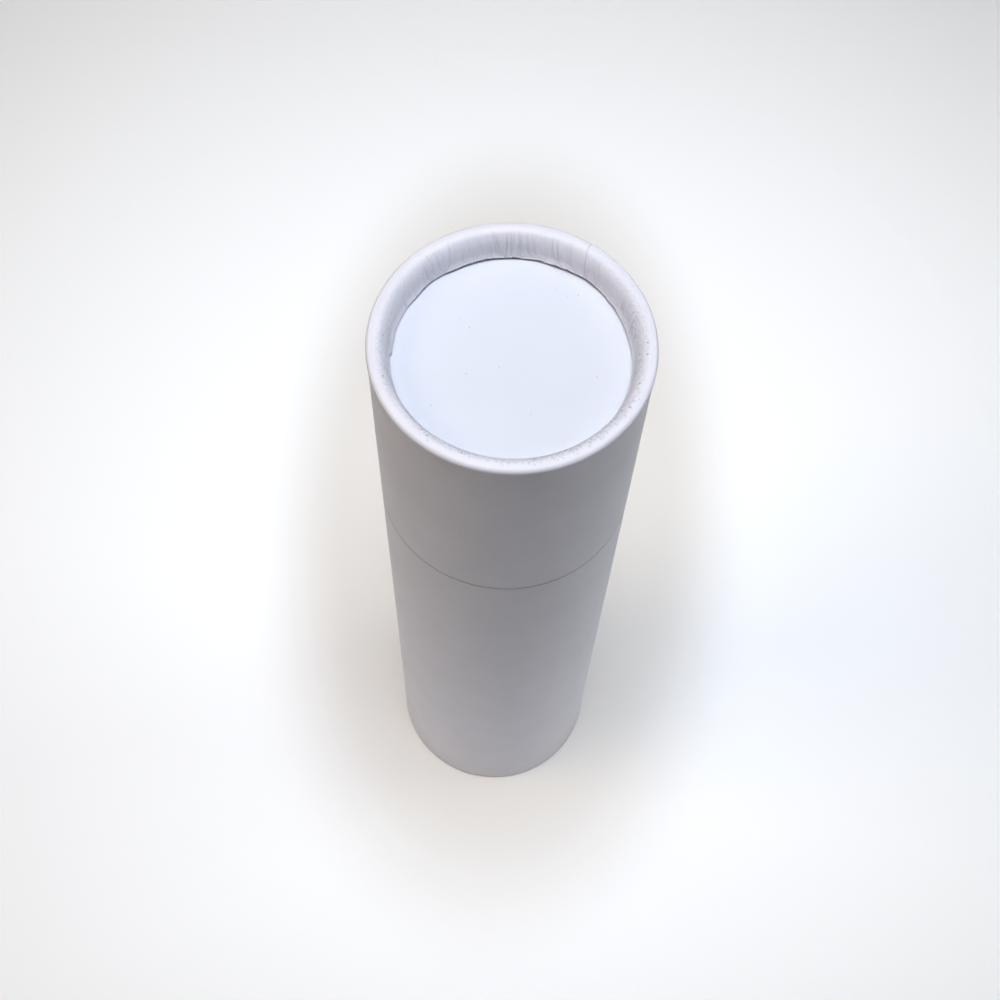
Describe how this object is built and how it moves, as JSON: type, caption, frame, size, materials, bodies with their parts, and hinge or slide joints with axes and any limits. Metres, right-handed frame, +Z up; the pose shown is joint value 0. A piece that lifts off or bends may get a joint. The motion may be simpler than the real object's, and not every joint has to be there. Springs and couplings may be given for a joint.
{
  "type": "fire blanket in a tube",
  "caption": "Upright paper tube with a flush lift-off cap and rolled rims, holding a rolled glass fibre fire blanket with webbing pull tapes.",
  "frame": {"origin": "centre of the ring that the foot stands on, on the tube's axis", "axes": "+Z up along the tube's axis, from the foot to the cap; +X towards the right pull tape; the camera of the picture looks along +Y"},
  "size_m": [0.08, 0.08, 0.303],
  "materials": {
    "white_paper": "satin",
    "white_board": "satin",
    "grey_board": "matte",
    "neck_board": "matte",
    "glass_cloth": "matte",
    "webbing": "matte",
    "thread": "matte"
  },
  "bodies": {
    "tube": {"body_wrap": "white_paper", "body_sleeve": "grey_board", "neck_sleeve": "neck_board", "base_end_disc": "white_board", "base_backing_disc": "grey_board"},
    "blanket": {"blanket_roll": "glass_cloth", "hem_stitching": "thread"},
    "tape_left": {"pull_tape_left": "webbing", "tape_stitching_left": "thread"},
    "tape_right": {"pull_tape_right": "webbing", "tape_stitching_right": "thread"},
    "cap": {"cap_wrap": "white_paper", "cap_sleeve": "grey_board", "cap_end_disc": "white_board", "cap_backing_disc": "grey_board"}
  },
  "joints": [
    {"name": "blanket_lift", "type": "slide", "parent": "tube", "child": "blanket", "axis": [0, 0, 1], "range_m": [0, 0.26]},
    {"name": "cap_lift", "type": "slide", "parent": "blanket", "child": "cap", "axis": [0, 0, 1], "range_m": [0, 0.07]},
    {"name": "pull_tape_left_raise", "type": "hinge", "parent": "blanket", "child": "tape_left", "pos_m": [-0.02552, 0, 0.2532], "axis": [0, -1, 0], "range_deg": [0, 88]},
    {"name": "pull_tape_right_raise", "type": "hinge", "parent": "blanket", "child": "tape_right", "pos_m": [0.02552, 0, 0.2532], "axis": [0, 1, 0], "range_deg": [0, 88]}
  ]
}
